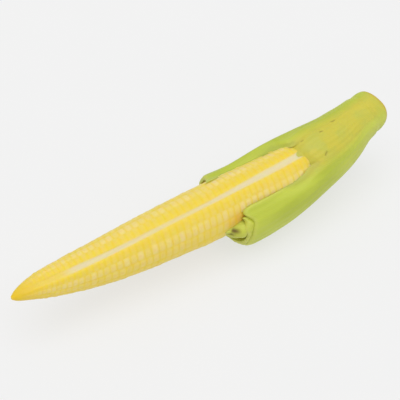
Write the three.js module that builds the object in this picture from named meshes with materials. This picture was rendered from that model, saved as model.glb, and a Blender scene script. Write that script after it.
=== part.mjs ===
// A young ear of corn, trimmed for the table: the bare cob lies in the cut-open
// base of its husk, on a short cut shank. Millimetres, +Z up, resting on Z = 0.
//
// The ear lies along X with its tip at -X. Every piece is drawn around the ear's
// own axis: "station" is the X of a point on that axis, and "angle" turns about it
// from straight up (0) towards the -Y side (90), down (180) and the +Y side (-90).

import * as THREE from 'three';

// ---- Driving dimensions -----------------------------------------------------

const TIP_STATION = -72.3;
const COB_END_STATION = 34;
const SHANK_START_STATION = 34.4;
const LEAF_BASE_STATION = 52;
const SHANK_END_STATION = 58.3;

// The ear's axis: nearly level through the cob, rising and swinging to +Y at the shank.
const AXIS_POINTS = [
  [-72.3, 0, 15.75],
  [-66, 0, 15.95],
  [-55, 0, 15],
  [-42, 0, 14.2],
  [-12, 0, 14.7],
  [12, 0.5, 14.8],
  [26, 1.6, 15.3],
  [38, 2.6, 17],
  [49, 4.4, 19.9],
  [60, 6.2, 21.6],
];

// Cob radius over the kernels, by station.
const COB_RADIUS = [
  [-72.3, 0.5],
  [-71, 1.4],
  [-68, 2.55],
  [-63.5, 3.75],
  [-57, 4.95],
  [-50, 5.9],
  [-38, 6.95],
  [-22, 7.95],
  [-8, 8.35],
  [14, 8.3],
  [26, 7.9],
  [31, 7.1],
  [34, 5.8],
];

const KERNEL_ROWS = 16;
const ROW_ANGLE = 360 / KERNEL_ROWS;
const FURROW_ANGLE = 30;
const ROW_GROOVE = 0.32;
const PAIR_GROOVE = 0.55;
const FURROW_DEPTH = 0.3;
const GROOVE_FULL_RADIUS = 7;

// Shank radius, by station: slim inside the husk, full size past the leaf bases.
const SHANK_RADIUS = [
  [34.4, 4.3],
  [52.3, 4.3],
  [52.4, 6.6],
  [54.6, 6.65],
  [56.4, 6.45],
  [57.6, 5.9],
  [58.3, 5],
];

// Outer radius of the husk, and how far its centre lies below the ear's axis.
const HUSK_RADIUS = [
  [-12, 12],
  [0, 12.15],
  [5, 12.2],
  [10.5, 12.05],
  [21, 11.5],
  [27, 11],
  [32, 10.35],
  [38, 9.4],
  [43.5, 8.35],
  [48, 7.35],
  [52, 6.95],
];
const HUSK_DROP = [
  [-12, 2.6],
  [0, 2.7],
  [5, 2.6],
  [10, 2],
  [21, 0.6],
  [28, 0.1],
  [34, 0],
];
const BELLY_FLAT = 0.3;

// The leaves lie in layers, closer together towards the shank.
const LEAF_THICKNESS = 0.9;
const LAYER_PITCH = 1.2;
const LAYER_SQUEEZE = [
  [2, 1],
  [10, 0.9],
  [16, 0.76],
  [21, 0.63],
  [27, 0.52],
  [36, 0.52],
  [52, 0.44],
];

// The knife's cut across the front of the husk, as the plane's place and slants.
const CUT_STATION = -3.3;
const CUT_SLANT_TO_SIDE = 0.9;
const CUT_SLANT_TO_TOP = 1.9;
const BACK_CORNER_REACH = 3.2;

// The window cut in the top of the husk, between its two long edges.
const WINDOW_FRONT_EDGE = [
  [-10, 52],
  [4, 50.5],
  [12, 54],
  [19, 55],
  [24, 49],
  [52, 52],
];
const WINDOW_BACK_EDGE = [
  [-10, -18],
  [-3, -20],
  [4, -28],
  [12, -28],
  [18, -29],
  [20.5, -24],
  [23, -6],
  [26, 2],
  [52, 4],
];
const WINDOW_END_STATION = 21.3;
const WINDOW_END_SLANT = 1.8;

const COLOURS = {
  kernel: 0xe9cd58,
  shank: 0xc5c35f,
  leafGreen: 0xb6c450,
  leafPale: 0xc6ca62,
  leafYellow: 0xcfc650,
};

// ---- Small helpers ----------------------------------------------------------

const radians = THREE.MathUtils.degToRad;
const { lerp } = THREE.MathUtils;

// A smooth curve through [station, value] stops, level past its ends.
function profile(stops) {
  const slopes = stops.map((stop, i) => {
    const before = stops[Math.max(i - 1, 0)];
    const after = stops[Math.min(i + 1, stops.length - 1)];
    return (after[1] - before[1]) / (after[0] - before[0]);
  });
  return (station) => {
    if (station <= stops[0][0]) return stops[0][1];
    if (station >= stops.at(-1)[0]) return stops.at(-1)[1];
    const i = stops.findIndex((stop) => stop[0] > station) - 1;
    const span = stops[i + 1][0] - stops[i][0];
    const t = (station - stops[i][0]) / span;
    const rise = stops[i + 1][1] - stops[i][1];
    const startBend = slopes[i] * span - rise;
    const endBend = rise - slopes[i + 1] * span;
    return stops[i][1] + rise * t + t * (1 - t) * (startBend * (1 - t) + endBend * t);
  };
}

const axisY = profile(AXIS_POINTS.map(([x, y]) => [x, y]));
const axisZ = profile(AXIS_POINTS.map(([x, , z]) => [x, z]));
const cobRadius = profile(COB_RADIUS);
const shankRadius = profile(SHANK_RADIUS);
const huskRadius = profile(HUSK_RADIUS);
const huskDrop = profile(HUSK_DROP);
const layerSqueeze = profile(LAYER_SQUEEZE);
const windowFrontEdge = profile(WINDOW_FRONT_EDGE);
const windowBackEdge = profile(WINDOW_BACK_EDGE);

const axisPoint = (station) => new THREE.Vector3(station, axisY(station), axisZ(station));

// The cross-section frame at a station: up and front (-Y), square to the axis.
function sectionFrame(station) {
  const tangent = axisPoint(station + 0.5).sub(axisPoint(station - 0.5)).normalize();
  const up = new THREE.Vector3(0, 0, 1).addScaledVector(tangent, -tangent.z).normalize();
  const front = tangent.clone().cross(up);
  return { up, front };
}

// A point at a radius and an angle around the axis, whose centre may drop below it.
function around(station, angle, radius, drop = 0) {
  const { up, front } = sectionFrame(station);
  return axisPoint(station)
    .addScaledVector(up, radius * Math.cos(radians(angle)) - drop)
    .addScaledVector(front, radius * Math.sin(radians(angle)));
}

function geometryFrom(positions, faces) {
  const geometry = new THREE.BufferGeometry();
  geometry.setAttribute('position', new THREE.Float32BufferAttribute(positions, 3));
  geometry.setIndex(faces);
  geometry.computeVertexNormals();
  return geometry;
}

// A solid skinned over closed rings of points and capped with a fan at each end.
function ringedSolid(rings) {
  const count = rings[0].length;
  const positions = rings.flat().flatMap((point) => point.toArray());
  const faces = [];
  for (let j = 0; j < rings.length - 1; j += 1) {
    for (let i = 0; i < count; i += 1) {
      const a = j * count + i;
      const b = j * count + ((i + 1) % count);
      faces.push(a, b, b + count, a, b + count, a + count);
    }
  }
  const capEnd = (ring, first, outwards) => {
    const centre = positions.length / 3;
    const middle = ring.reduce((sum, point) => sum.add(point), new THREE.Vector3());
    positions.push(...middle.divideScalar(count).toArray());
    for (let i = 0; i < count; i += 1) {
      const a = first + i;
      const b = first + ((i + 1) % count);
      faces.push(centre, ...(outwards ? [a, b] : [b, a]));
    }
  };
  capEnd(rings[0], 0, false);
  capEnd(rings.at(-1), (rings.length - 1) * count, true);
  return geometryFrom(positions, faces);
}

// A closed sheet: an outer and an inner skin over the same grid, joined by a rim.
function sheetSolid(across, along, outerPoint, innerPoint) {
  const positions = [];
  const faces = [];
  const width = across + 1;
  const skin = width * (along + 1);
  const quad = (a, b, c, d) => faces.push(a, b, c, a, c, d);
  for (const point of [outerPoint, innerPoint]) {
    for (let j = 0; j <= along; j += 1) {
      for (let i = 0; i <= across; i += 1) {
        positions.push(...point(i / across, j / along).toArray());
      }
    }
  }
  for (let j = 0; j < along; j += 1) {
    for (let i = 0; i < across; i += 1) {
      const a = j * width + i;
      quad(a, a + 1, a + width + 1, a + width);
      quad(skin + a, skin + a + width, skin + a + width + 1, skin + a + 1);
    }
    const left = j * width;
    const right = left + across;
    quad(left, left + width, skin + left + width, skin + left);
    quad(right + width, right, skin + right, skin + right + width);
  }
  const last = along * width;
  for (let i = 0; i < across; i += 1) {
    quad(i + 1, i, skin + i, skin + i + 1);
    quad(last + i, last + i + 1, skin + last + i + 1, skin + last + i);
  }
  return geometryFrom(positions, faces);
}

function piece(name, geometry, colour, roughness) {
  const material = new THREE.MeshStandardMaterial({ color: colour, roughness, metalness: 0 });
  const mesh = new THREE.Mesh(geometry, material);
  mesh.name = name;
  return mesh;
}

// ---- The cob ----------------------------------------------------------------

// How deep the surface lies below the kernels' crowns: a groove between rows, a
// deeper one between pairs of rows, and one smooth row without kernels, the furrow.
function kernelRelief(angle) {
  const row = (angle - FURROW_ANGLE) / ROW_ANGLE + 0.5;
  const rowNumber = Math.floor(row);
  const acrossRow = row - rowNumber;
  const nearestSeam = Math.round(row);
  const groove = nearestSeam % 2 === 0 ? PAIR_GROOVE : ROW_GROOVE;
  const crown = Math.sin(Math.PI * acrossRow);
  const isFurrow = rowNumber % KERNEL_ROWS === 0;
  return isFurrow ? Math.max(FURROW_DEPTH, groove * (1 - crown)) : groove * (1 - crown);
}

function cob() {
  const ringCount = 40;
  const sidesPerRow = 4;
  const rings = [];
  for (let j = 0; j <= ringCount; j += 1) {
    const t = j / ringCount;
    const closerAtTip = lerp(t, t * t, 0.5);
    const station = lerp(TIP_STATION, COB_END_STATION, closerAtTip);
    const radius = cobRadius(station);
    const fade = Math.min(radius / GROOVE_FULL_RADIUS, 1);
    const ring = [];
    for (let i = 0; i < KERNEL_ROWS * sidesPerRow; i += 1) {
      const angle = FURROW_ANGLE + (i * ROW_ANGLE) / sidesPerRow;
      ring.push(around(station, angle, radius - fade * kernelRelief(angle)));
    }
    rings.push(ring);
  }
  return piece('cob', ringedSolid(rings), COLOURS.kernel, 0.45);
}

// ---- The shank --------------------------------------------------------------

function shank() {
  const sides = 28;
  const stations = [SHANK_START_STATION, 40, 45, 49, 52.3, 52.4, 53.5, 54.6, 55.6, 56.4, 57.1];
  stations.push(57.7, SHANK_END_STATION);
  const rings = stations.map((station) => {
    const ring = [];
    for (let i = 0; i < sides; i += 1) {
      ring.push(around(station, (i * 360) / sides, shankRadius(station)));
    }
    return ring;
  });
  return piece('shank', ringedSolid(rings), COLOURS.shank, 0.6);
}

// ---- The husk leaves --------------------------------------------------------

// Where the front cut meets a leaf at an angle around the ear.
function frontCut(angle) {
  const toSide = CUT_SLANT_TO_SIDE * Math.sin(radians(angle));
  const toTop = CUT_SLANT_TO_TOP * Math.cos(radians(angle));
  return CUT_STATION + toSide - toTop;
}

// A point a depth below the husk's outer surface; the belly is pressed flat.
function huskPoint(station, angle, depth) {
  const point = around(station, angle, huskRadius(station) - depth, huskDrop(station));
  point.z = Math.max(point.z, BELLY_FLAT);
  return point;
}

// One leaf: "from" and "to" give its side edges by station, "start" its front edge
// by angle, and "layer" how deep it lies, in layers from the outside.
function leaf({ name, colour, from, to, start, layer, across, along }) {
  const place = (u, v) => {
    const frontAngle = lerp(from(0), to(0), u);
    const station = lerp(start(frontAngle), LEAF_BASE_STATION, v);
    const angle = lerp(from(station), to(station), u);
    return { station, angle };
  };
  const skin = (extraDepth) => (u, v) => {
    const { station, angle } = place(u, v);
    const squeeze = layerSqueeze(station);
    const depth = (layer(station, angle) * LAYER_PITCH + extraDepth) * squeeze;
    return huskPoint(station, angle, depth);
  };
  return piece(name, sheetSolid(across, along, skin(0), skin(LEAF_THICKNESS)), colour, 0.5);
}

const smoothStep = THREE.MathUtils.smoothstep;

function frontOuterLeaf() {
  return leaf({
    name: 'husk_leaf_front_outer',
    colour: COLOURS.leafGreen,
    from: windowFrontEdge,
    to: () => 214,
    start: frontCut,
    layer: () => 0,
    across: 22,
    along: 18,
  });
}

// The back leaf dives under the front leaf where the two meet below the ear.
function backOuterLeaf() {
  return leaf({
    name: 'husk_leaf_back_outer',
    colour: COLOURS.leafGreen,
    from: () => -168,
    to: windowBackEdge,
    start: (angle) => frontCut(angle) - BACK_CORNER_REACH * smoothStep(angle, -50, -14),
    layer: (station, angle) => 1 - smoothStep(angle, -142, -118),
    across: 22,
    along: 18,
  });
}

function frontMiddleLeaf() {
  return leaf({
    name: 'husk_leaf_front_middle',
    colour: COLOURS.leafPale,
    from: () => 66,
    to: () => 184,
    start: (angle) => frontCut(angle) - 0.8,
    layer: () => 1,
    across: 16,
    along: 15,
  });
}

function cradleLeaf() {
  return leaf({
    name: 'husk_leaf_cradle',
    colour: COLOURS.leafPale,
    from: () => 92,
    to: () => 238,
    start: (angle) => frontCut(angle) + 0.6,
    layer: () => 2,
    across: 18,
    along: 15,
  });
}

function cradleInnerLeaf() {
  return leaf({
    name: 'husk_leaf_cradle_inner',
    colour: COLOURS.leafYellow,
    from: () => 130,
    to: () => 222,
    start: (angle) => frontCut(angle) - 0.4,
    layer: () => 3,
    across: 12,
    along: 14,
  });
}

// The yellow inner leaf that closes the top from the end of the window to the shank.
// Its front end hugs the cob, and it rises to its own layer behind.
function topLeaf() {
  const hugDepth = 1.1;
  const hugEndStation = 34;
  return leaf({
    name: 'husk_leaf_top',
    colour: COLOURS.leafYellow,
    from: () => -52,
    to: () => 61,
    start: (angle) => WINDOW_END_STATION + WINDOW_END_SLANT * Math.sin(radians(angle)),
    layer: (station) => 1 + hugDepth * (1 - smoothStep(station, WINDOW_END_STATION, hugEndStation)),
    across: 14,
    along: 12,
  });
}

// ---- The whole ear ----------------------------------------------------------

const ear = new THREE.Group();
ear.add(
  cob(),
  shank(),
  frontOuterLeaf(),
  backOuterLeaf(),
  frontMiddleLeaf(),
  cradleLeaf(),
  cradleInnerLeaf(),
  topLeaf(),
);

// The origin is the middle of the ear's footprint, on the surface it rests on.
const bounds = new THREE.Box3().setFromObject(ear);
const middle = bounds.getCenter(new THREE.Vector3());
ear.position.set(-middle.x, -middle.y, -bounds.min.z);

export default ear;
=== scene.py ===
# %% [markdown]
# # A young ear of corn in its trimmed husk
#
# A young ear is picked before its kernels swell. The husk has been cut open along
# the top and trimmed short at the front, so the bare cob lies in it as in a cradle.
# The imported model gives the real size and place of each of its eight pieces. This
# lesson keeps those, and builds the kernels, the leaves and their finishes on them.

# %% Load the frame
import math
from collections import namedtuple

import bpy
import numpy as np
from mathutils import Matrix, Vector


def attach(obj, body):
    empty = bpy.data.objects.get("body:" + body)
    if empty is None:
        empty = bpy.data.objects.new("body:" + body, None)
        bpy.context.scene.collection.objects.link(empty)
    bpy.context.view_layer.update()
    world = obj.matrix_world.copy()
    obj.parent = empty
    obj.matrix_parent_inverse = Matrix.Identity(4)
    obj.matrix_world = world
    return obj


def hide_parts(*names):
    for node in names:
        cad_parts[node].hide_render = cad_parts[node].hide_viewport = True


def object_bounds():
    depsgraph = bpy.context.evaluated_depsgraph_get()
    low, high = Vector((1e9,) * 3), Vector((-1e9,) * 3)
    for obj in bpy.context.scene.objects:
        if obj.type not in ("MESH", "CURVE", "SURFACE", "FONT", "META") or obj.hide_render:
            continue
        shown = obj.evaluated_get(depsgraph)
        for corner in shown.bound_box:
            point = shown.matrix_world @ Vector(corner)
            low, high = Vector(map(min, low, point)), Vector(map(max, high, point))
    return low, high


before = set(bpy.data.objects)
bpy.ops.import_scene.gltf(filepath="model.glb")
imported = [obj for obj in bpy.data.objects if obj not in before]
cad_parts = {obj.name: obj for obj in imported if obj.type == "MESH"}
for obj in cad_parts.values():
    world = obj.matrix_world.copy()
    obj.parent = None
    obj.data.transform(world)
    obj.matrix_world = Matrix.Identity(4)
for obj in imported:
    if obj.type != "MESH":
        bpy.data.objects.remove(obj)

cad_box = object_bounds()
MM = 0.001
print("pieces in the frame:", sorted(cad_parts))

# %% [markdown]
# ## The ear's own coordinates
#
# A cob and the leaves around it are easiest to describe from the ear's own axis.
# A station is how far along the ear a point is, in millimetres, with the tip at the
# low end. An angle turns about the axis from straight up (0), towards the front
# (90), down (180) and towards the back (-90). The stops below are few, and a smooth
# curve runs through each set, because a grown thing has no corners along its length.

# %% Driving dimensions of the ear
TIP_STATION = -72.3
COB_END_STATION = 34.0
LEAF_BASE_STATION = 52.0
SHANK_END_STATION = 58.3

AXIS_SIDE = [(-12, 0), (12, 0.5), (26, 1.6), (38, 2.6), (49, 4.4), (60, 6.2)]
AXIS_HEIGHT = [(-72.3, 15.75), (-66, 15.95), (-55, 15), (-42, 14.2), (-12, 14.7),
               (12, 14.8), (26, 15.3), (38, 17), (49, 19.9), (60, 21.6)]
COB_RADIUS = [(-72.3, 0.5), (-71, 1.4), (-68, 2.55), (-63.5, 3.75), (-57, 4.95), (-50, 5.9),
              (-38, 6.95), (-22, 7.95), (-8, 8.35), (14, 8.3), (26, 7.9), (31, 7.1), (34, 5.8)]
HUSK_RADIUS = [(-12, 12), (0, 12.15), (5, 12.2), (10.5, 12.05), (21, 11.5), (27, 11.0),
               (32, 10.35), (38, 9.4), (43.5, 8.35), (48, 7.35), (52, 6.95), (55, 6.75)]
HUSK_DROP = [(-12, 2.6), (0, 2.7), (5, 2.6), (10, 2), (21, 0.6), (28, 0.1), (34, 0)]
SHANK_START_STATION = 34.4
SHANK_RADIUS = [(34.4, 4.3), (50, 4.3), (52.4, 6.3), (54.5, 6.65), (56.8, 6.5), (57.9, 6.2),
                (58.3, 5.7)]
BELLY_FLAT = 0.3
LAYER_PITCH = 1.2
LAYER_SQUEEZE = [(2, 1), (10, 0.9), (16, 0.76), (21, 0.63), (27, 0.52), (36, 0.52), (52, 0.44)]
print(f"the ear is {SHANK_END_STATION - TIP_STATION:.1f} mm long")


# %% Smooth curves through a few stops
def smooth_curve(stops):
    """A smooth curve through (station, value) stops, level past its ends."""
    stations, values = np.array(stops, float).T
    last = len(stations) - 1
    after = np.minimum(np.arange(last + 1) + 1, last)
    before = np.maximum(np.arange(last + 1) - 1, 0)
    slopes = (values[after] - values[before]) / (stations[after] - stations[before])

    def value_at(station):
        station = np.clip(station, stations[0], stations[-1])
        i = np.clip(np.searchsorted(stations, station, side="right") - 1, 0, last - 1)
        span = stations[i + 1] - stations[i]
        t = (station - stations[i]) / span
        rise = values[i + 1] - values[i]
        start_bend = slopes[i] * span - rise
        end_bend = rise - slopes[i + 1] * span
        return values[i] + rise * t + t * (1 - t) * (start_bend * (1 - t) + end_bend * t)

    return value_at


def smooth_step(low, high, value):
    """0 below low, 1 above high, and an even S between them; low may be the larger."""
    t = np.clip((value - low) / (high - low), 0, 1)
    return t * t * (3 - 2 * t)


def hill(centre, width, value):
    """1 at the centre, falling smoothly to almost nothing two widths away."""
    return np.exp(-((value - centre) / width) ** 2)


axis_side = smooth_curve(AXIS_SIDE)
axis_height = smooth_curve(AXIS_HEIGHT)
cob_radius = smooth_curve(COB_RADIUS)
husk_radius = smooth_curve(HUSK_RADIUS)
husk_drop = smooth_curve(HUSK_DROP)
shank_radius = smooth_curve(SHANK_RADIUS)
layer_squeeze = smooth_curve(LAYER_SQUEEZE)
print(f"cob is {2 * cob_radius(-8.0):.1f} mm thick, husk {2 * husk_radius(5.0):.1f} mm")


# %% Points around the ear's axis
def axis_point(station):
    return np.stack([station, axis_side(station), axis_height(station)], axis=-1)


def section_frame(station):
    """The up and front directions of the cross-section at each station."""
    tangent = axis_point(station + 0.5) - axis_point(station - 0.5)
    tangent /= np.linalg.norm(tangent, axis=-1, keepdims=True)
    up = np.array([0.0, 0.0, 1.0]) - tangent * tangent[..., 2:]
    up /= np.linalg.norm(up, axis=-1, keepdims=True)
    return up, np.cross(tangent, up)


def around(station, angle, radius):
    """Points at a radius and an angle about the axis."""
    up, front = section_frame(station)
    height = radius * np.cos(np.radians(angle))
    reach = radius * np.sin(np.radians(angle))
    return axis_point(station) + up * height[..., None] + front * reach[..., None]


print("the axis starts at, mm:", axis_point(np.array(TIP_STATION)))


# %% [markdown]
# ## From the ear to the frame
#
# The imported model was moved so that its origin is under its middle. The ring of
# points at the cob's tip is the same point of the ear in both, so their difference
# is that move, and nothing has to be fitted by eye.

# %% Find the move from the ear to the frame
TIP_RING_REACH = 0.05

cob_points = np.array([v.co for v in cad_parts["cob"].data.vertices]) / MM
tip_ring = cob_points[cob_points[:, 0] < cob_points[:, 0].min() + TIP_RING_REACH]
tip_in_frame = (tip_ring.min(axis=0) + tip_ring.max(axis=0)) / 2
EAR_TO_FRAME = tip_in_frame - axis_point(np.array(TIP_STATION))
print("ear to frame, mm:", EAR_TO_FRAME.round(3))

# %% [markdown]
# ## One way to make a piece
#
# Every piece is a closed skin over a grid of points. The grid gives an even flow of
# faces along the grain, and each point can carry extra values, such as how far it
# is from a cut edge. The finishes read those values, so that colour follows the
# shape exactly, which a painted picture would only do roughly.


# %% Build a mesh piece from points, faces and values
def put_in_scene(name, data):
    """A new object for a mesh, a lamp or a camera, in the scene."""
    placed = bpy.data.objects.new(name, data)
    bpy.context.scene.collection.objects.link(placed)
    return placed


def make_piece(name, points, faces, values, finish, node, slot):
    """A smooth mesh, in metres in the frame, that stands for one node of the model."""
    used, faces = np.unique(faces, return_inverse=True)
    faces = faces.reshape(-1, 4)
    mesh = bpy.data.meshes.new(name)
    in_frame = (points[used] + EAR_TO_FRAME) * MM
    mesh.from_pydata(in_frame.tolist(), [], faces.tolist())
    mesh.validate()
    mesh.shade_smooth()
    for value_name, numbers in values.items():
        layer = mesh.attributes.new(value_name, "FLOAT", "POINT")
        layer.data.foreach_set("value", numbers[used].astype(np.float32))
    mesh.materials.append(finish)
    piece = put_in_scene(name, mesh)
    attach(piece, "root")
    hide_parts(node)
    print(f"{name}: {len(used)} points, {len(faces)} faces")


def grid_faces(index, wrap=False):
    """Four-cornered faces over a grid of point numbers, joined round when it wraps."""
    if wrap:
        index = np.concatenate([index, index[:, :1]], axis=1)
    corners = [index[:-1, :-1], index[:-1, 1:], index[1:, 1:], index[1:, :-1]]
    return np.stack(corners, axis=-1).reshape(-1, 4)


def close_tube(grid, values):
    """A closed skin over rings of points, fanned in to a middle point at each end.

    The values hold one number for each point of the grid; a middle gets its ring's mean.
    """
    points = grid.reshape(-1, 3)
    index = np.arange(len(points)).reshape(grid.shape[:2])
    faces = grid_faces(index, wrap=True)
    values = {name: numbers.ravel() for name, numbers in values.items()}
    for ring, order in ((index[0], 1), (index[-1], -1)):
        middle = np.full(len(ring) // 2, len(points))
        points = np.concatenate([points, points[ring].mean(axis=0, keepdims=True)])
        values = {name: np.append(v, v[ring].mean()) for name, v in values.items()}
        rim = ring[::order]
        near, far = rim[0::2], rim[1::2]
        fan = np.stack([middle, np.roll(near, -1), far, near], axis=-1)
        faces = np.concatenate([faces, fan])
    return points, faces, values


print("pieces to make:", len(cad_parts))

# %% Unevenness
NOISE_WAVES = 6
NOISE_HEIGHT = 3.5


def soft_noise(seed, station, angle, grain):
    """A gentle, repeatable unevenness of about -1 to 1; grain is its size in mm."""
    random = np.random.default_rng(seed)
    total = np.zeros(np.broadcast(station, angle).shape)
    for _ in range(NOISE_WAVES):
        along = random.uniform(0.5, 1.3) / grain * 2 * math.pi
        turns = random.integers(-1, 2) + random.integers(0, 2)
        phase = random.uniform(0, 2 * math.pi)
        total += np.sin(along * station + turns * np.radians(angle) * 2 + phase)
    return total / NOISE_HEIGHT


print("unevenness at three stations:", soft_noise(1, np.array([0, 20, 40]), 0, 26).round(2))


# %% [markdown]
# ## Writing a finish as sums
#
# A material is a web of small nodes. Writing it as arithmetic is easier to read:
# this class wraps one output of the web, and adding, subtracting or multiplying
# two of them adds the node that does it. Colours go through mixing nodes, because
# plain arithmetic nodes would turn them grey.


# %% A class for finishes
class Finish:
    """One output in a material's web of nodes."""

    def __init__(self, tree, socket=None):
        self.tree = tree
        self.socket = socket

    def node(self, kind, settings, inputs, output=0):
        """Adds a node: its settings first, then the values or links of its inputs."""
        made = self.tree.nodes.new(kind)
        for key, value in settings.items():
            setattr(made, key, value)
        for key, value in inputs.items():
            if isinstance(value, Finish):
                self.tree.links.new(value.socket, made.inputs[key])
            else:
                made.inputs[key].default_value = value
        return Finish(self.tree, made.outputs[output])

    def maths(self, operation, *values):
        inputs = dict(enumerate(values))
        return self.node("ShaderNodeMath", {"operation": operation}, inputs)

    def __add__(self, other):
        return self.maths("ADD", self, other)

    def __radd__(self, other):
        return self.maths("ADD", other, self)

    def __sub__(self, other):
        return self.maths("SUBTRACT", self, other)

    def __rsub__(self, other):
        return self.maths("SUBTRACT", other, self)

    def __mul__(self, other):
        return self.maths("MULTIPLY", self, other)

    def __rmul__(self, other):
        return self.maths("MULTIPLY", other, self)

    def value(self, name):
        """A value that the mesh carries at its points."""
        return self.node("ShaderNodeAttribute", {"attribute_name": name}, {}, "Fac")

    def step(self, low, high, source):
        """0 below low, 1 above high, with a soft change between."""
        settings = {"interpolation_type": "SMOOTHSTEP"}
        inputs = {"Value": source, "From Min": low, "From Max": high}
        return self.node("ShaderNodeMapRange", settings, inputs)

    def blend(self, amount, first, second):
        """A colour between two, nearer to the second as the amount nears 1."""
        settings = {"data_type": "RGBA", "clamp_factor": True}
        return self.node("ShaderNodeMix", settings, {0: amount, 6: first, 7: second}, 2)

    def shade(self, amount, colour, tint):
        """The colour multiplied by a tint, by that amount."""
        settings = {"data_type": "RGBA", "blend_type": "MULTIPLY"}
        return self.node("ShaderNodeMix", settings, {0: amount, 6: colour, 7: tint}, 2)


print("finishes can be added, subtracted and multiplied")


# %% Colours and surfaces
def colour(red, green, blue):
    """A colour given as it looks on a screen, 0 to 255, for use as light."""
    parts = [part / 255 for part in (red, green, blue)]
    light = [p / 12.92 if p <= 0.04045 else ((p + 0.055) / 1.055) ** 2.4 for p in parts]
    return (*light, 1.0)


def new_material(name):
    """An empty material's web, and a Finish to start its sums from."""
    material = bpy.data.materials.new(name)
    material.use_nodes = True
    material.node_tree.nodes.clear()
    return material, Finish(material.node_tree)


def set_surface(start, tint, roughness, bump_height, bump_depth, **constants):
    """Joins colour, roughness and fine relief to a surface, and sets its constants."""
    relief = start.node(
        "ShaderNodeBump", {}, {"Strength": 1.0, "Distance": bump_depth * MM, "Height": bump_height}
    )
    inputs = {"Base Color": tint, "Roughness": roughness, "Normal": relief, **constants}
    surface = start.node("ShaderNodeBsdfPrincipled", {}, inputs, "BSDF")
    output = start.tree.nodes.new("ShaderNodeOutputMaterial")
    start.tree.links.new(surface.socket, output.inputs["Surface"])


def grain_noise(start, scale, stretch):
    """Cloudy noise, drawn out along the ear by the stretch; scale is in clouds per mm."""
    place = start.node("ShaderNodeTexCoord", {}, {}, "Object")
    factors = (scale / stretch / MM, scale / MM, scale / MM)
    drawn_out = start.node(
        "ShaderNodeVectorMath", {"operation": "MULTIPLY"}, {0: place, 1: factors}
    )
    inputs = {"Vector": drawn_out, "Scale": 1.0, "Detail": 3.0}
    return start.node("ShaderNodeTexNoise", {}, inputs)


print("a middle grey as light:", round(colour(128, 128, 128)[0], 3))


# %% [markdown]
# ## The kernels' finish
#
# Young kernels are waxy and a little see-through. Each crown is paler than the deep
# yellow between the rows, and carries a tiny pinkish scar where its silk was. The
# seams are lifted towards a brighter yellow, painted light that offsets their shade.
# The furrow, a row that never set kernels, is cream, and the kernels next to the
# husk's cut front get a darker orange, painted shade where the husk shades them.
# A painted picture could hold all this, but values carried by the mesh stay sharp at
# any distance. A little light is let into the surface, which softens the small
# shadows as the wax does.

# %% Kernel colours
DEEP_YELLOW = colour(230, 203, 34)
TIP_YELLOW = colour(226, 194, 40)
# A brighter yellow for the seams between kernels: painted light that offsets the shade falling in
# them.
PAINTED_SEAM_LIGHT = colour(240, 206, 40)
CROWN_YELLOW = colour(233, 213, 118)
CROWN_PALE = colour(234, 211, 146)
SILK_SCAR = colour(230, 190, 120)
FURROW_CREAM = colour(226, 214, 160)
FURROW_SHADE = colour(224, 209, 172)
# A darker orange for the kernels beside the husk's cut front: painted shade where the husk shades
# them.
PAINTED_SHADE_ORANGE = colour(224, 160, 22)
KERNEL_CONSTANTS = {
    "Subsurface Weight": 0.55,
    "Subsurface Radius": (1.0, 0.7, 0.15),
    "Subsurface Scale": 1.8 * MM,
    "Specular IOR Level": 0.35,
    "Coat Weight": 0.05,
    "Coat Roughness": 0.35,
}
print("the crowns as light:", [round(part, 2) for part in CROWN_YELLOW])


# %% Kernel finish
def kernel_finish():
    material, start = new_material("kernel_wax")
    crown = start.value("crown")
    furrow = start.value("furrow")
    scar = start.value("scar")
    clouds = grain_noise(start, 0.35, 2.0)
    fine = grain_noise(start, 1.6, 1.0)

    deep = start.blend(start.value("ripe"), DEEP_YELLOW, TIP_YELLOW)
    light = start.blend(clouds, CROWN_YELLOW, CROWN_PALE)
    raised = start.step(0.0, 0.9, crown + 0.3 * (fine - 0.5))
    tint = start.blend((0.4 + 0.6 * raised) * start.value("pale"), deep, light)
    tint = start.blend(scar * 0.4, tint, SILK_SCAR)
    tint = start.blend(furrow, tint, start.blend(fine, FURROW_CREAM, FURROW_SHADE))
    # Painted light: the seams are lifted towards a brighter yellow to offset the shade in them.
    tint = start.blend((1 - crown) * (1 - furrow) * 0.2, tint, PAINTED_SEAM_LIGHT)
    # Painted shade: a darker orange on the kernels just in front of the husk's cut, where the husk
    # shades them.
    tint = start.blend(start.value("bruised") * (0.35 + 0.5 * clouds), tint, PAINTED_SHADE_ORANGE)

    rough = 0.42 + 0.12 * fine - 0.06 * crown
    set_surface(start, tint, rough, fine + 0.3 * scar, 0.05, **KERNEL_CONSTANTS)
    return material


kernel_wax = kernel_finish()
print("made", kernel_wax.name)

# %% [markdown]
# ## The cob
#
# Sixteen rows of kernels run along the cob, in eight pairs, with the bare furrow
# between two of them. Carving each kernel by hand would be slow, and a bump texture
# would leave the outline smooth. So the skin is a grid that follows the rows as they
# twist: ten columns to a row and eight rings to a kernel, pushed down in the seams.

# %% Kernel sizes
ROWS = 16
COLUMNS_PER_ROW = 10
RINGS_PER_KERNEL = 8
FURROW_COLUMNS = 8
FULL_KERNEL = 2.1

kernel_length = smooth_curve([
    (-72.3, 0.75), (-68, 1.0), (-62, 1.4), (-52, 1.85), (-40, FULL_KERNEL), (34, FULL_KERNEL)
])
furrow_angle = smooth_curve([
    (-72, 41), (-60, 38), (-47, 32.5), (-38, 30.5), (-20, 28.5), (-8, 26.5), (2, 22.5),
    (12, 19.5), (34, 18)
])
furrow_half_width = smooth_curve([
    (-72, 0.3), (-60, 0.8), (-52, 0.85), (-44, 0.75), (-12, 0.64), (-2, 0.8), (10, 1.1),
    (34, 1.1)
])
print(f"a kernel is {kernel_length(-68.0):.1f} mm long by the tip, {FULL_KERNEL} mm later")

# %% Where the rings of the cob lie
COUNTING_STEPS = 4000


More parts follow.
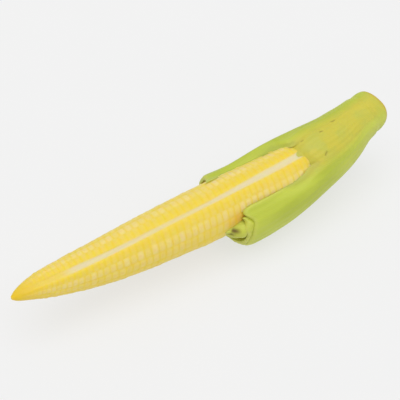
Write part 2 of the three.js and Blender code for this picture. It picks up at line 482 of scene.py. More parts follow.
def cob_rings():
    """Ring stations, an equal share of a kernel apart, and the kernel count at each."""
    fine = np.linspace(TIP_STATION, COB_END_STATION, COUNTING_STEPS)
    per_mm = 1 / kernel_length(fine)
    count = np.concatenate([[0], np.cumsum((per_mm[1:] + per_mm[:-1]) / 2 * np.diff(fine))])
    ring_count = int(count[-1] * RINGS_PER_KERNEL)
    kernels = np.linspace(0, count[-1], ring_count + 1)
    return np.interp(kernels, count, fine), kernels


ring_stations, ring_kernels = cob_rings()
print(f"{ring_kernels[-1]:.0f} kernels to a row, {len(ring_stations)} rings")


# %% Where the columns of the cob lie
def cob_columns():
    """For each column: its row number (-1 in the furrow) and its place across that row."""
    across = (np.arange(COLUMNS_PER_ROW) + 0.5) / COLUMNS_PER_ROW
    rows = np.repeat(np.arange(ROWS), COLUMNS_PER_ROW)
    across_furrow = (np.arange(FURROW_COLUMNS) + 0.5) / FURROW_COLUMNS
    number = np.concatenate([rows, np.full(FURROW_COLUMNS, -1)])
    place = np.concatenate([np.tile(across, ROWS), across_furrow])
    return number, place


column_row, column_place = cob_columns()
in_furrow = column_row < 0
print(len(column_row), "columns around the cob,", in_furrow.sum(), "of them in the furrow")


# %% Lay the rows around the cob
def lay_rows():
    """Each grid point's station, radius and angle, and the width of a row in degrees."""
    station = ring_stations[:, None] * np.ones(len(column_row))
    radius = cob_radius(station)
    half_furrow = np.degrees(furrow_half_width(station) / radius)
    width = (360 - 2 * half_furrow) / ROWS
    beside_furrow = half_furrow + (column_row + column_place) * width
    across_furrow = (2 * column_place - 1) * half_furrow
    angle = furrow_angle(station) + np.where(in_furrow, across_furrow, beside_furrow)
    return station, radius, angle, width


cob_station, plain_radius, cob_angle, row_width = lay_rows()
print(f"a row covers {row_width[-1, 0]:.1f} degrees at the cob's end")

# %% [markdown]
# ### Kernels in their rows
#
# The two rows of a pair grow almost level with one another, while the pairs start
# anywhere, and no two kernels are the same size. Copying one kernel many times would
# look stamped. Here each row gets its own small offset, its seams wander slowly, and
# each kernel draws its own size and tone.

# %% Place each kernel along its row
KERNEL_SEED = 11
KERNELS_DRAWN = 97
ROW_OFFSET = 0.12
SEAM_WANDER = 0.16
SEAM_SLANT = 0.10


def place_kernels():
    """How far along its own kernel each point is, and that kernel's size and tone."""
    random = np.random.default_rng(KERNEL_SEED)
    pair = (column_row + 1) // 2
    pair_shift = random.uniform(0, 1, ROWS)[pair % ROWS]
    row_shift = random.uniform(-ROW_OFFSET, ROW_OFFSET, ROWS)[column_row]
    wander = SEAM_WANDER * np.sin(cob_station / 7.0 + column_row * 1.9)
    slant = SEAM_SLANT * (column_place - 0.5)
    kernel = ring_kernels[:, None] + pair_shift + row_shift + wander + slant
    number = np.floor(kernel).astype(int)
    drawn = (column_row, number % KERNELS_DRAWN)
    size = random.normal(0, 1, (ROWS, KERNELS_DRAWN))[drawn]
    tone = random.uniform(0, 1, (ROWS, KERNELS_DRAWN))[drawn]
    return kernel - number, size, tone


kernel_place, kernel_size, kernel_tone = place_kernels()
print(f"kernel sizes from {kernel_size.min():.1f} to {kernel_size.max():.1f}")

# %% Raise the crowns and press in the seams
ROW_SEAM_DEPTH = 0.19
PAIR_SEAM_DEPTH = 0.28
KERNEL_SEAM_DEPTH = 0.12
SCAR_PLACE = 0.42
SCAR_SIZE = 0.25


def crown_height():
    """Height of a kernel's crown, 0 at its edge to 1 in its middle."""
    over = 1 - np.abs(2 * column_place - 1) ** 2.6
    down = 1 - np.abs(2 * kernel_place - 1) ** 2
    return np.clip(over, 0, 1) ** 0.4 * np.clip(down, 0, 1)


def silk_scar():
    """1 at the scar on each kernel, 0 around it."""
    across = (column_place - 0.5) * row_width * np.radians(plain_radius)
    along = (kernel_place - SCAR_PLACE) * FULL_KERNEL
    return np.exp(-(np.hypot(across, along) / SCAR_SIZE) ** 2)


def seam_drop():
    """How far the seams press each point down, in mm; every second one parts two pairs."""
    to_seam = np.minimum(column_place, 1 - column_place) * 2
    seam_number = np.where(column_place < 0.5, column_row, column_row + 1)
    seam = np.where(seam_number % 2 == 0, PAIR_SEAM_DEPTH, ROW_SEAM_DEPTH)
    between_rows = seam * (1 - np.sqrt(1 - (1 - to_seam) ** 2.4))
    near_end = np.abs(2 * kernel_place - 1) ** 4
    return between_rows + KERNEL_SEAM_DEPTH * near_end * np.sqrt(to_seam)


crowns = crown_height()
scars = silk_scar()
print(f"the deepest seam is {seam_drop().max():.2f} mm deep")

# %% Shape the cob's skin
FURROW_DEPTH = 0.34
SWELL_HEIGHT = 0.10
LUMP_HEIGHT = 0.34


def cob_skin(grown):
    """The cob's grid of points; the relief is full where grown is 1."""
    lean = 0.05 * (kernel_place - 0.5) * crowns
    kernel_drop = seam_drop() + 0.05 * scars - 0.05 * kernel_size * crowns - lean
    fibres = 0.03 * np.sin(column_place * 9 + cob_station * 0.4)
    furrow_drop = FURROW_DEPTH * (1 - 0.25 * (2 * column_place - 1) ** 2) + fibres
    drop = grown * np.where(in_furrow, furrow_drop, kernel_drop)
    swell = SWELL_HEIGHT * soft_noise(5, cob_station, cob_angle, 30) * grown
    lump = LUMP_HEIGHT * hill(-14, 2.6, cob_station) * hill(112, 16, cob_angle)
    return around(cob_station, cob_angle, plain_radius - drop + swell + lump)


kernel_growth = smooth_step(1.2, 4.8, plain_radius)
cob_grid = cob_skin(kernel_growth)
print("cob grid:", cob_grid.shape[0], "rings of", cob_grid.shape[1], "points")

# %% Colour values of the cob
PALENESS_BY_ROW = np.array([0, 0.85, 0.55, 0.35, 0.6, 0.4, 0.6, 0.5])


def row_paleness():
    """How pale each row is, counted from the furrow; the two beside it have pale edges."""
    from_furrow = np.minimum(column_row, ROWS - 1 - column_row)
    across = np.where(column_row == 0, column_place, 1 - column_place)
    edged = 0.12 + 0.5 * across ** 2 + 0.5 * (1 - across) ** 6
    return np.where(from_furrow == 0, edged, PALENESS_BY_ROW[from_furrow])


def cob_values(grown):
    edge = np.abs(2 * column_place - 1)
    shown = smooth_step(-60, -54, cob_station) * (1 - 0.3 * hill(-24, 14, cob_station))
    unripe = smooth_step(-72, -60, cob_station) - 0.35 * kernel_tone * (1 - grown)
    return {
        "crown": np.where(in_furrow, 0.6, crowns) * grown + 0.8 * (1 - grown),
        "pale": np.clip(row_paleness() * (0.75 + 0.5 * kernel_tone), 0, 1) * grown,
        "furrow": np.where(in_furrow, 1 - 0.6 * edge ** 3, 0) * shown,
        "ripe": np.clip(1 - unripe, 0, 1),
        "scar": scars * grown * ~in_furrow,
        # Painted shade on the kernels beside the husk's cut front, where the husk shades them.
        "bruised": hill(-4.5, 3.4, cob_station) * hill(84, 13, cob_angle),
    }


cob_skin_parts = close_tube(cob_grid, cob_values(kernel_growth))
make_piece("corn_cob", *cob_skin_parts, kernel_wax, "cob", "kernel")

# %% [markdown]
# ## The leaves' finish
#
# A husk leaf is green outside where it saw the sun, paler inside, and yellow-green
# where it lay under another leaf. Its fibres run from the shank to the cut edge, so
# colour and relief are drawn out along the ear. Each leaf could have a finish of its
# own, but the leaves differ only in how green they grew, so one function makes all.

# %% Leaf colours
SUNNED_DULL = colour(176, 188, 50)
SUNNED_BRIGHT = colour(191, 201, 64)
BAND_YELLOW = colour(206, 193, 58)
BAND_GREEN = colour(192, 191, 70)
BAND_STREAK = colour(192, 188, 62)
CUT_EDGE = colour(204, 206, 92)
RIDGE_TINT = colour(226, 232, 190)
STREAK_TINT = colour(230, 226, 170)
# Brown for the small tears, which are real marks, and also painted shade in the gaps between the
# folds at the husk's closed front.
TEAR_BROWN_AND_PAINTED_GAP_SHADE = colour(104, 78, 16)
FIBRE_SPACING = 0.55
LEAF_CONSTANTS = {
    "Subsurface Weight": 0.2,
    "Subsurface Radius": (0.8, 1.0, 0.25),
    "Subsurface Scale": 0.8 * MM,
    "Coat Weight": 0.1,
    "Coat Roughness": 0.35,
}
print(f"fibres {FIBRE_SPACING} mm apart")


# %% Leaf finishes
def outer_tint(start, dull, bright, clouds, streaks):
    """Green where the sun reached, and a blotched yellow along the top band."""
    green = start.blend(start.step(0.3, 0.7, clouds), dull, bright)
    blotches = start.step(0.38, 0.66, grain_noise(start, 0.2, 1.3))
    band = start.blend(blotches, BAND_YELLOW, BAND_GREEN)
    band = start.blend(streaks * 0.5, band, BAND_STREAK)
    tint = start.blend(start.value("yellow"), green, band)
    return start.blend(start.value("rim") * (0.35 + 0.4 * clouds), tint, CUT_EDGE)


def leaf_grain(start):
    """Broad clouds, thin streaks, and ridges that rise and fall once across each fibre."""
    clouds = grain_noise(start, 0.12, 3.0)
    streaks = grain_noise(start, 0.9, 12.0)
    phase = start.value("fibre") * (2 * math.pi / FIBRE_SPACING) + 3.0 * streaks
    return clouds, streaks, 0.5 + 0.5 * start.maths("SINE", phase)


def leaf_finish(name, dull, bright, inside):
    """A leaf's finish from its dull and bright outside colours and its inside colour."""
    material, start = new_material(name)
    clouds, streaks, ridges = leaf_grain(start)

    tint = outer_tint(start, dull, bright, clouds, streaks)
    tint = start.blend(start.value("lining"), tint, inside)
    tint = start.shade(0.12 * ridges, tint, RIDGE_TINT)
    tint = start.shade(start.step(0.55, 0.85, streaks) * 0.2, tint, STREAK_TINT)
    # Tears get half this brown as real marks; the gaps between folds get it in full as painted
    # shade.
    tint = start.blend(start.value("torn") * 0.95, tint, TEAR_BROWN_AND_PAINTED_GAP_SHADE)

    rough = 0.46 + 0.12 * streaks + 0.05 * ridges
    set_surface(start, tint, rough, 0.5 * ridges + 0.6 * streaks, 0.03, **LEAF_CONSTANTS)
    return material


leaf_green = leaf_finish("leaf_green", SUNNED_DULL, SUNNED_BRIGHT, colour(208, 209, 96))
leaf_pale = leaf_finish(
    "leaf_pale", colour(182, 189, 54), colour(195, 200, 68), colour(204, 198, 78)
)
leaf_yellow = leaf_finish(
    "leaf_yellow", colour(190, 190, 62), colour(204, 200, 72), colour(208, 192, 80)
)
print("made", leaf_green.name, leaf_pale.name, leaf_yellow.name)

# %% [markdown]
# ## The husk leaves
#
# Each leaf is a thin fleshy sheet that wraps part of the way round the cob and was
# cut across in front. A flat sheet could be bent round with a modifier, but nothing
# would keep it off its neighbours. Here every leaf is drawn by station, angle and
# depth below one shared surface, so a deeper leaf is always inside.

# %% Leaf sizes
LEAF_THICKNESS = 1.14
CUT_STATION = -3.3
CUT_SLANT_TO_SIDE = 0.9
CUT_SLANT_TO_TOP = 1.9
OUTER_LEAF_END = 54.6
WINDOW_END_STATION = 21.3
WINDOW_END_SLANT = 1.8

window_front_edge = smooth_curve([(-10, 52), (4, 50.5), (12, 54), (19, 55), (24, 49), (52, 52)])
window_back_edge = smooth_curve([
    (-10, -18), (-3, -20), (4, -28), (12, -28), (18, -29), (20.5, -24), (23, -6), (26, 2), (52, 4)
])


def front_cut(angle):
    """The station where the knife's cut across the front meets a leaf at an angle."""
    to_side = CUT_SLANT_TO_SIDE * np.sin(np.radians(angle))
    to_top = CUT_SLANT_TO_TOP * np.cos(np.radians(angle))
    return CUT_STATION + to_side - to_top


def window_end(angle):
    """The station where the window ends and the top leaf begins."""
    return WINDOW_END_STATION + WINDOW_END_SLANT * np.sin(np.radians(angle))


print(f"the window runs from station {front_cut(0.0):.1f} to {window_end(0.0):.1f}")

# %% [markdown]
# ### Waves, tears and the hold on the cob
#
# Fresh leaves wave gently, hug the cob beside the window, and carry small tears. A
# bump texture could show the tears but would leave the outline plain. So all of
# these move the shared surface itself, and the leaves wave together.

# %% Waves and hug shared by the leaves
WAVE_HEIGHT = 0.22
RIB_HEIGHT = 0.05

hug_front = smooth_curve([(-10, 1.2), (4, 1.4), (14, 1.9), (20, 1.5), (25, 0.9), (31, 0)])
hug_back = smooth_curve([
    (-10, 0.8), (-3, 1.1), (4, 1.8), (11, 2.4), (17, 2.5), (20, 1.6), (25, 0.9), (31, 0)
])


def husk_wave(station, angle):
    """How far the leaves bulge out together, in mm; calm near the shank."""
    broad = WAVE_HEIGHT * soft_noise(21, station, angle, 26)
    ribs = RIB_HEIGHT * np.sin(np.radians(angle) * 34 + 0.04 * station)
    return (broad + ribs) * smooth_step(50, 40, station)


def hug(station, angle):
    """How far the leaves bend in to the cob beside the window, in mm."""
    beside_front = smooth_step(84, 52, angle) * (angle > 20)
    beside_back = smooth_step(-48, -29, angle) * (angle < 20)
    return hug_front(station) * beside_front + hug_back(station) * beside_back


print(f"the front leaf bends in by {hug(14.0, 52.0):.1f} mm half way along the window")

# %% Tears and gaps between folds
TEARS = [(40.7, -2, 0.9, 0.3, 9), (33.8, 6, 0.7, 0.28, 9), (26.3, 1, 0.6, 0.24, 9),
         (29.9, 46, 0.8, 0.33, -38), (36, -35, 0.9, 0.22, 9), (31, 150, 1.2, 0.28, 9),
         (12, -120, 1.4, 0.28, 9)]
# The gaps between folds are pressed in and also painted dark brown, painted shade where only shadow
# falls.
FOLD_GAPS = [(-6.4, 87, 0.95, 0.95, 30), (-7.2, 96, 0.6, 0.6, 0), (-7.4, 150, 0.7, 0.6, 0)]
TEAR_DEPTH = 0.25
FOLD_GAP_DEPTH = 0.9


def spots(places, station, angle):
    """1 inside each (station, angle, half length, half width, lean) spot, 0 well outside."""
    total = np.zeros(station.shape)
    for place, turn, length, width, lean in places:
        forward = station - place
        sideways = np.radians(angle - turn) * husk_radius(station)
        cosine, sine = math.cos(math.radians(lean)), math.sin(math.radians(lean))
        along = (forward * cosine + sideways * sine) / length
        across = (sideways * cosine - forward * sine) / width
        total += np.exp(-(along ** 4) - across ** 2)
    return np.clip(total, 0, 1)


print(len(TEARS), "tears and", len(FOLD_GAPS), "gaps between folds")

# %% Points of the husk
REST_CLEARANCE = 0.7
REST_FADE = 1.2
REST_BITE = 0.3
REST_SOFTNESS = 0.15


def rest_on_cob(station, distance, depth):
    """Keeps a leaf's distance from the axis outside the cob, its deeper skins closest."""
    least = cob_radius(station) + REST_CLEARANCE * np.exp(-depth / REST_FADE) - REST_BITE
    resting = (distance + least + np.sqrt((distance - least) ** 2 + REST_SOFTNESS ** 2)) / 2
    over_cob = smooth_step(34, 31, station)
    return distance + over_cob * (resting - distance)


def husk_point(station, angle, depth):
    """A point a depth below the husk's outer surface; the belly is pressed flat."""
    sink = depth + hug(station, angle)
    sink = sink + TEAR_DEPTH * spots(TEARS, station, angle)
    sink = sink + FOLD_GAP_DEPTH * spots(FOLD_GAPS, station, angle)
    radius = husk_radius(station) - sink + husk_wave(station, angle)
    up, front = section_frame(station)
    height = radius * np.cos(np.radians(angle)) - husk_drop(station)
    reach = radius * np.sin(np.radians(angle))
    distance = np.hypot(height, reach)
    scale = rest_on_cob(station, distance, depth) / distance
    point = axis_point(station) + up * (height * scale)[..., None]
    point += front * (reach * scale)[..., None]
    point[..., 2] = np.maximum(point[..., 2], BELLY_FLAT)
    return point


print("husk at its widest, mm:", husk_point(np.array([5.0]), np.array([90.0]), 0.0)[0].round(2))

# %% [markdown]
# ### A leaf with rounded edges
#
# The cut edge of a fleshy leaf is round, not square. A plane with a thickness added
# to it would have square edges, and a bevel on them could tear where they wave. So
# the outer and the inner skin are drawn apart, and come together over the last half
# thickness in a quarter circle.

# %% Distances near a rounded edge
EDGE_STEPS = 5
SIDE_COLUMNS = 110
LENGTH_ROWS = 150


def edge_distances():
    """Distances in mm from a rounded edge, close together where it turns sharply."""
    turn = np.linspace(0, math.pi / 2, EDGE_STEPS + 1)
    return (1 - np.cos(turn)) * LEAF_THICKNESS / 2


def round_over(distance):
    """The share of its full thickness that a leaf has at a distance from its edge."""
    inward = np.clip(distance / (LEAF_THICKNESS / 2), 0, 1)
    return np.sqrt(1 - (1 - inward) ** 2)


def spread(length, count):
    """Distances over a length, finely spaced near both ends."""
    near = edge_distances()
    middle = np.linspace(near[-1], 1, count)[1:-1, None]
    near = near[:, None] * np.ones_like(length)
    inner = near[-1] + (length - 2 * near[-1]) * (middle - near[-1, 0]) / (1 - near[-1, 0])
    return np.concatenate([near, inner, (length - near)[::-1]])


print("rows near an edge, mm:", edge_distances().round(3))

# %% The grid of a leaf
LeafGrid = namedtuple("LeafGrid", "station angle behind to_base to_low to_high")


def leaf_grid(side_from, side_to, start, layer, end):
    """A leaf's grid of stations and angles, with the distances to its four edges."""
    share = np.linspace(0, 1, SIDE_COLUMNS + 2 * EDGE_STEPS)
    front_angle = side_from(0.0) + (side_to(0.0) - side_from(0.0)) * share
    front = start(front_angle)
    behind = spread(end - front, LENGTH_ROWS)
    station = front + behind
    low, high = side_from(station), side_to(station)
    radius = husk_radius(station) - layer(station, front_angle) * LAYER_PITCH
    width = np.radians(high - low) * radius
    near = edge_distances()
    to_low = np.empty_like(station)
    to_low[:, : EDGE_STEPS + 1] = near
    to_low[:, -EDGE_STEPS - 1 :] = width[:, -EDGE_STEPS - 1 :] - near[::-1]
    inner = width[:, EDGE_STEPS + 1 : -EDGE_STEPS - 1] - 2 * near[-1]
    middle = np.linspace(0, 1, SIDE_COLUMNS)[1:-1]
    to_low[:, EDGE_STEPS + 1 : -EDGE_STEPS - 1] = near[-1] + inner * middle
    angle = low + (high - low) * to_low / width
    return LeafGrid(station, angle, behind, end - station, to_low, width - to_low)


def leaf_faces(shape):
    """Faces over a leaf's two skins, which share their points along all four edges."""
    count = shape[0] * shape[1]
    top = np.arange(count).reshape(shape)
    bottom = top + count
    for line in (np.s_[0, :], np.s_[-1, :], np.s_[:, 0], np.s_[:, -1]):
        bottom[line] = top[line]
    return np.concatenate([grid_faces(top), grid_faces(bottom)[:, ::-1]])


print("a leaf has", len(leaf_faces((LENGTH_ROWS, SIDE_COLUMNS))), "faces or a few more")

# %% How deep the skins of a leaf lie
TOP_CURL = 1.6
TOP_CURL_LENGTH = 2.2
EDGE_DEPTH_ON_COB = 1.9
SHANK_COVER = 0.1
LEAST_THICKNESS = 0.02


def top_layer(station, angle=0):
    """How many layers down the leaf that closes the top lies, the same all round."""
    return 0.8 + 1.0 * (1 - smooth_step(WINDOW_END_STATION, 28, station))


def window_curl(behind, angle):
    """How the top leaf's front bends down onto the cob between the outer leaves, in mm."""
    between = smooth_step(-34, -18, angle) * smooth_step(60, 46, angle)
    return TOP_CURL * between * hill(0, TOP_CURL_LENGTH, behind)


def window_depth(station, angle):
    """How deep an outer leaf sinks at its edge along the window, flush with what is below."""
    squeeze = layer_squeeze(station)
    behind = station - window_end(angle)
    on_cob = EDGE_DEPTH_ON_COB * squeeze
    on_leaf = top_layer(station) * LAYER_PITCH * squeeze + 0.05
    on_leaf = on_leaf + 0.3 * window_curl(behind, angle)
    return on_cob + (on_leaf - on_cob) * smooth_step(-3, 0.5, behind)


def leaf_depths(leaf, layer, tucked, curl, end):
    """The depths of a leaf's outer and inner skins below the husk's surface, in mm."""
    squeeze = layer_squeeze(leaf.station)
    middle = (layer(leaf.station, leaf.angle) * LAYER_PITCH + LEAF_THICKNESS / 2) * squeeze
    middle = middle + curl(leaf.behind, leaf.angle)
    across = round_over(np.minimum(leaf.to_low, leaf.to_high))
    along = round_over(np.minimum(leaf.behind, leaf.to_base))
    half = LEAF_THICKNESS / 2 * squeeze * (across * along)
    outer = middle - half
    outer = outer + tucked * (window_depth(leaf.station, leaf.angle) - outer)
    on_shank = husk_radius(leaf.station) - shank_radius(leaf.station) + SHANK_COVER
    at_base = smooth_step(3.2, 0.2, leaf.to_base) * (end > LEAF_BASE_STATION)
    outer = outer + at_base * (on_shank - outer)
    return outer, np.maximum(middle + half, outer + LEAST_THICKNESS)


print(f"window edges sink {window_depth(np.array(4.0), np.array(0.0)):.2f} mm at station 4")


# %% Colour values of a leaf
def top_band(station, angle):
    """1 on the yellow band behind the window, 0 on the green sides."""
    near_side = 1 - smooth_step(50, 72, angle)
    far_side = smooth_step(-26, 4, angle)
    return near_side * far_side * smooth_step(12, 24, station)


def pale_side(angle):
    """How pale the outermost leaf is around the ear, near the shank."""
    return 0.9 * hill(84, 24, angle)


def leaf_values(leaf):
    """The values that a leaf's finish reads, the same on both skins but for the lining."""
    to_side = np.minimum(leaf.to_low, leaf.to_high)
    rim_at_side = (1 - smooth_step(0.2, 1.4, to_side)) * smooth_step(27, 20, leaf.station)
    rim = np.maximum(rim_at_side, 1 - smooth_step(0.2, 1.6, leaf.behind))
    # Half strength on the tears, which are real marks; full strength in the fold gaps, painted
    # shade.
    torn = 0.5 * spots(TEARS, leaf.station, leaf.angle) + spots(FOLD_GAPS, leaf.station, leaf.angle)
    shared = {
        "fibre": np.radians(leaf.angle) * husk_radius(leaf.station),
        "rim": rim + smooth_step(28, 48, leaf.station) * pale_side(leaf.angle),
        "yellow": top_band(leaf.station, leaf.angle),
        "torn": np.clip(torn, 0, 1),
    }
    values = {name: np.tile(numbers.ravel(), 2) for name, numbers in shared.items()}
    inside = smooth_step(0.3, 0.9, np.minimum(to_side, leaf.behind)).ravel()
    values["lining"] = np.concatenate([np.zeros(len(inside)), inside])
    return values


def shape_leaf(side_from, side_to, start, layer, curl, tuck=None, end=LEAF_BASE_STATION):
    """A leaf between two side angles, from its cut front to its base.

    start gives its front station by angle, layer its depth by station and angle, curl
    how its front bends in, and tuck, if any, how its outer skin sinks at the window.
    """
    leaf = leaf_grid(side_from, side_to, start, layer, end)
    outer, inner = leaf_depths(leaf, layer, tuck(leaf) if tuck else 0.0, curl, end)
    outer_skin = husk_point(leaf.station, leaf.angle, outer)
    inner_skin = husk_point(leaf.station, leaf.angle, inner)
    points = np.concatenate([outer_skin.reshape(-1, 3), inner_skin.reshape(-1, 3)])
    return points, leaf_faces(leaf.station.shape), leaf_values(leaf)


print("the band's middle is", top_band(30.0, 20.0), "yellow, and the side", top_band(30.0, 90.0))


# %% Edges and fronts shared by the leaves
def at(angle):
    """A side edge that keeps one angle along the whole leaf."""
    return lambda station: np.zeros_like(station, dtype=float) + angle


def ragged(seed, angle, size):
    """Small unevenness of a knife cut, in mm."""
    return size * soft_noise(seed, angle * 0.5, angle, 14)


def bowl(depth, length):
    """A front end that curves in like the side of a bowl, by the distance behind it, in mm."""
    def curl(behind, angle):
        steep = np.clip(1 - behind / length, 0, 1)
        return depth * (1 - (1 - steep ** 2) ** 0.6)

    return curl


def outer_start(angle):
    """Where the front leaf was cut; its top corner is rounded and it dips at the side."""
    corner = 3.2 * hill(51, 6, angle)
    dip = 1.7 * hill(77, 10, angle) + 0.5 * hill(98, 12, angle)
    return front_cut(angle) + corner + dip + ragged(31, angle, 0.15)


print(f"the front leaf starts at station {outer_start(np.array([90.0]))[0]:.1f} at the side")

# %% [markdown]
# ### The two outer leaves
#
# The front leaf wraps the near side and passes under the ear. The back leaf rises
# behind the cob and dives under the front one. Behind the window both could end in
# a plain step, but fresh leaves lie flat on what is below. So they thin out over the
# yellow leaf, and only soft lines show where they end.

# %% Outer leaves
BACK_CORNER_REACH = 3.2


def front_outer():
    def layer(station, angle):
        return 0 * station

    def tuck(leaf):
        return smooth_step(3.5, 0.1, leaf.to_low) * smooth_step(4, 20, leaf.station)

    return shape_leaf(
        window_front_edge, at(214.0), outer_start, layer, bowl(0.7, 2.2), tuck, OUTER_LEAF_END
    )


def back_outer():
    def start(angle):
        corner = BACK_CORNER_REACH * smooth_step(-50, -14, angle)
        return front_cut(angle) - corner + ragged(32, angle, 0.2)

    def layer(station, angle):
        return 1 - smooth_step(-142, -118, angle)

    def tuck(leaf):
        return smooth_step(3.8, 0.1, leaf.to_high) * smooth_step(-8, 2, leaf.station)

    return shape_leaf(
        at(-168.0), window_back_edge, start, layer, bowl(0.6, 1.6), tuck, OUTER_LEAF_END
    )


make_piece("husk_front_leaf", *front_outer(), leaf_green, "husk_leaf_front_outer", "leaf_green")
make_piece("husk_back_leaf", *back_outer(), leaf_green, "husk_leaf_back_outer", "leaf_green")

# %% [markdown]
# ### The inner leaves
#
# Each inner leaf reaches a little further forward than the one outside it. Ending
# them all in one plane would leave the husk open like a pipe. Instead their fronts
# curl in towards the cob and close the husk like the folded end of a parcel, with
# one or two small gaps left beside the cob.


# %% How the inner leaves fold in
def folds(station, angle):
    """Soft folds across the closed end of the husk, in layers."""
    return 0.2 * np.sin(np.radians(angle) * 9 + station * 0.9) * smooth_step(-2.5, -4.5, station)


def closing_curl(behind, angle):
    """How the cradling leaves close the end: round at the side, rising early below."""
    below = smooth_step(85, 128, angle)
    steep = np.clip(1 - behind / (6.0 + 3.5 * below), 0, 1)
    return (3.4 + 4.4 * below) * steep ** (2 - 0.8 * below)


print(f"the cradle curls in by {closing_curl(0.0, 90.0):.1f} mm at the side")


# %% Inner leaves
def front_middle():
    def start(angle):
        return outer_start(angle) - 0.8 - 1.9 * hill(85, 12, angle)

    def layer(station, angle):
        return 1 - 0.65 * smooth_step(0.6, -0.9, station - outer_start(angle))

    return shape_leaf(at(66.0), at(184.0), start, layer, bowl(1.0, 2.4))


def cradle():
    def start(angle):
        reach = 5.6 * smooth_step(72, 92, angle)
        return -3.6 - reach + 0.8 * smooth_step(125, 180, angle) + ragged(34, angle, 0.15)

    def layer(station, angle):
        return 2 - 1.1 * smooth_step(-1.5, -4.0, station) + folds(station, angle)

    return shape_leaf(at(70.0), at(238.0), start, layer, closing_curl)


def cradle_inner():
    def start(angle):
        reach = 5.4 * smooth_step(76, 96, angle)
        return -3.6 - reach + 1.2 * smooth_step(125, 180, angle) + ragged(35, angle, 0.2)

    def layer(station, angle):
        return 3 - 0.9 * smooth_step(-1.5, -4.0, station) + folds(station, angle)

    return shape_leaf(at(76.0), at(222.0), start, layer, closing_curl)


def top_leaf():
    return shape_leaf(
        at(-52.0), at(64.0), window_end, top_layer, window_curl, end=OUTER_LEAF_END
    )


make_piece("husk_middle_leaf", *front_middle(), leaf_pale, "husk_leaf_front_middle", "leaf_pale")
make_piece("husk_cradle_leaf", *cradle(), leaf_pale, "husk_leaf_cradle", "leaf_pale")
make_piece("husk_inner_leaf", *cradle_inner(), leaf_yellow, "husk_leaf_cradle_inner", "leaf_yellow")
make_piece("husk_top_leaf", *top_leaf(), leaf_yellow, "husk_leaf_top", "leaf_yellow")

# %% [markdown]
# ## The shank
#
# The shank is the short stalk that the ear grew on, cut off behind the leaves. Its
# cut end is fibrous and browns as it dries. A capped cylinder would have a sharp rim
# and a flat end. Here rings of points run along the stalk, over the rounded rim and
# in to the middle of a cut that slants as a knife leaves it.

# %% Shank finish
PITH_PALE = colour(214, 208, 138)
PITH_DARK = colour(196, 184, 104)
BROWNED = colour(196, 150, 48)


def shank_finish():
    material, start = new_material("shank_fibre")
    cut_face = start.value("cut_face")
    clouds, streaks, ridges = leaf_grain(start)
    pith = grain_noise(start, 2.2, 1.0)

    tint = outer_tint(start, SUNNED_DULL, SUNNED_BRIGHT, clouds, streaks)
    tint = start.shade(0.12 * ridges, tint, RIDGE_TINT)
    tint = start.blend(cut_face, tint, start.blend(pith, PITH_PALE, PITH_DARK))
    tint = start.blend(start.value("browned") * (0.4 + 0.5 * clouds), tint, BROWNED)

    rough = 0.55 + 0.2 * pith
    set_surface(start, tint, rough, cut_face * pith + 0.5 * ridges, 0.04, **LEAF_CONSTANTS)
    return material


shank_fibre = shank_finish()
print("made", shank_fibre.name)

# %% Rings of the shank
SHANK_COLUMNS = 160
HIDDEN_STATIONS = np.linspace(SHANK_START_STATION, 50.4, 12)
SHOWN_STATIONS = np.linspace(50.5, SHANK_END_STATION, 60)
CUT_FACE_RINGS = 26
CUT_SLANTS = [(8, 1.0), (140, 1.7), (235, -1.0)]
SHANK_LUMPS = 0.08
FIBRE_RADIUS = 6.7
FACE_DISH = 0.25
FACE_FIBRES = 0.12

side_stations = np.concatenate([HIDDEN_STATIONS, SHOWN_STATIONS])
face_shares = np.linspace(1, 0.02, CUT_FACE_RINGS)[1:]
shank_angles = np.arange(SHANK_COLUMNS) * 360 / SHANK_COLUMNS


def cut_slant(station, angle):
    """How far the slanting cut moves a point near the shank's end along the ear, in mm."""
    depth = 0.0
    for side, slant in CUT_SLANTS:
        facing = np.clip(np.cos(np.radians(angle - side)), 0, 1)
        depth = depth + slant * facing ** 1.5
    return -depth * smooth_step(52.5, 58, station)


def shank_side():
    """The grid of points along the outside of the shank."""
    station = side_stations[:, None] * np.ones(SHANK_COLUMNS)
    angle = shank_angles + 0 * station
    shown = smooth_step(50, 53, station) * smooth_step(58.6, 57, station)
    radius = shank_radius(station) + SHANK_LUMPS * soft_noise(61, station, angle, 9) * shown
    return around(station + cut_slant(station, angle), angle, radius)


def shank_face():
    """The grid of points on the cut face, from near its rim to near its middle."""
    share = face_shares[:, None] * np.ones(SHANK_COLUMNS)
    angle = shank_angles + 0 * share
    fibres = FACE_FIBRES * soft_noise(62, share * 9, angle * 3, 5)
    station = SHANK_END_STATION - FACE_DISH * (1 - share) ** 2 + fibres * (1 - share) - 0.05
    station += share * cut_slant(SHANK_END_STATION, angle)
    return around(station, angle, shank_radius(SHANK_END_STATION) * share)


print(len(side_stations) + len(face_shares), "rings on the shank")


# %% Colour values of the shank
def shank_values():
    """The values that the shank's finish reads, one for each point of its rings."""
    on_side = np.zeros(len(side_stations))
    cut_face = np.concatenate([on_side, smooth_step(1.0, 0.9, face_shares)])
    station = np.concatenate([side_stations, np.full(len(face_shares), SHANK_END_STATION)])
    rim = smooth_step(56.6, 58.1, station) * (1 - cut_face)
    browned = rim + 0.35 * np.concatenate([on_side, face_shares ** 3])
    angle = (shank_angles + 180) % 360 - 180 + 0 * station[:, None]
    return {
        "cut_face": np.repeat(cut_face, SHANK_COLUMNS),
        "browned": np.repeat(browned, SHANK_COLUMNS),
        "yellow": top_band(station[:, None] + 0 * angle, angle),
        "rim": pale_side(angle),
        "fibre": np.radians(angle) * FIBRE_RADIUS,
    }


shank_grid = np.concatenate([shank_side(), shank_face()])
shank_skin = close_tube(shank_grid, shank_values())
make_piece("cut_shank", *shank_skin, shank_fibre, "shank", "shank")

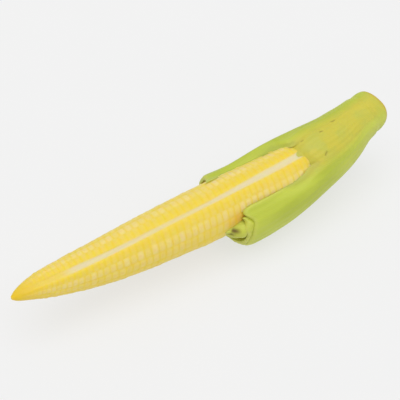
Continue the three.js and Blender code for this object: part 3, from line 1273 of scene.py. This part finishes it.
# %% [markdown]
# ## The floor
#
# The ear lies on a plain pale studio floor. A white floor would burn out around the
# ear, and a grey one would look dull. This one is grey but glows a little by itself,
# so it stays even and pale while the shadow on it stays soft.

# %% Floor
FLOOR_SIZE = 12.0
FLOOR_GLOW = 0.633
FLOOR_GREY = (0.23, 0.23, 0.23, 1)
FLOOR_GREY_MOTTLE = (0.24, 0.24, 0.24, 1)


def floor_finish():
    material, start = new_material("studio_floor")
    mottle = grain_noise(start, 0.02, 1.0)
    tint = start.blend(mottle, FLOOR_GREY, FLOOR_GREY_MOTTLE)
    set_surface(start, tint, 0.9 + 0.02 * mottle, mottle, 0.001, **{
        "Specular IOR Level": 0.0,
        "Emission Color": (1, 1, 1, 1),
        "Emission Strength": FLOOR_GLOW,
    })
    return material


def make_floor():
    half = FLOOR_SIZE / 2
    corners = [(-half, -half, 0), (half, -half, 0), (half, half, 0), (-half, half, 0)]
    mesh = bpy.data.meshes.new("studio_floor")
    mesh.from_pydata(corners, [], [(0, 1, 2, 3)])
    mesh.materials.append(floor_finish())
    put_in_scene("studio_floor", mesh)


make_floor()
print("floor laid,", FLOOR_SIZE, "m wide")

# %% [markdown]
# ## The light
#
# A studio lights such a thing from above with a wide soft box. An area lamp would
# fall off across the floor. A broad sun has no falloff, so the floor is evenly bright
# except for the soft shadow under the husk, and a pale sky fills the sides.

# %% Light
SKY_STRENGTH = 0.62
SUN_STRENGTH = 1.55
SUN_WIDTH = 75.0
SUN_LEAN = (14.0, -6.0)


def make_light():
    world = bpy.data.worlds.new("studio_sky")
    world.use_nodes = True
    background = world.node_tree.nodes["Background"]
    background.inputs["Color"].default_value = (1, 1, 1, 1)
    background.inputs["Strength"].default_value = SKY_STRENGTH
    bpy.context.scene.world = world
    sun = bpy.data.lights.new("studio_sun", "SUN")
    sun.energy = SUN_STRENGTH
    sun.angle = math.radians(SUN_WIDTH)
    lamp = put_in_scene("studio_sun", sun)
    lamp.rotation_euler = [math.radians(lean) for lean in (*SUN_LEAN, 0)]


make_light()
print("light set,", SUN_WIDTH, "degrees wide")

# %% [markdown]
# ## The camera
#
# The camera looks down on the ear from the front left with a long lens, which keeps
# its far end from shrinking. Its aim could be typed in, but is counted from the
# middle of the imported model's box, so that it follows the model.

# %% Camera
CAMERA_AZIMUTH = -34.6
CAMERA_ELEVATION = 40.0
CAMERA_DISTANCE = 326 * MM
CAMERA_LENS = 100
AIM_FROM_CENTRE = Vector((-0.77, 6.79, -0.38)) * MM


def make_camera():
    azimuth, elevation = math.radians(CAMERA_AZIMUTH), math.radians(CAMERA_ELEVATION)
    back = Vector((
        math.sin(azimuth) * math.cos(elevation),
        -math.cos(azimuth) * math.cos(elevation),
        math.sin(elevation),
    ))
    aim = (Vector(cad_box[0]) + Vector(cad_box[1])) / 2 + AIM_FROM_CENTRE
    lens = bpy.data.cameras.new("studio_camera")
    lens.lens = CAMERA_LENS
    lens.clip_end = 100
    camera = put_in_scene("studio_camera", lens)
    camera.location = aim + back * CAMERA_DISTANCE
    camera.rotation_euler = back.to_track_quat("Z", "Y").to_euler()
    bpy.context.scene.camera = camera


make_camera()
bpy.context.scene.view_settings.view_transform = "Standard"
print(f"camera placed {CAMERA_DISTANCE / MM:.0f} mm away")
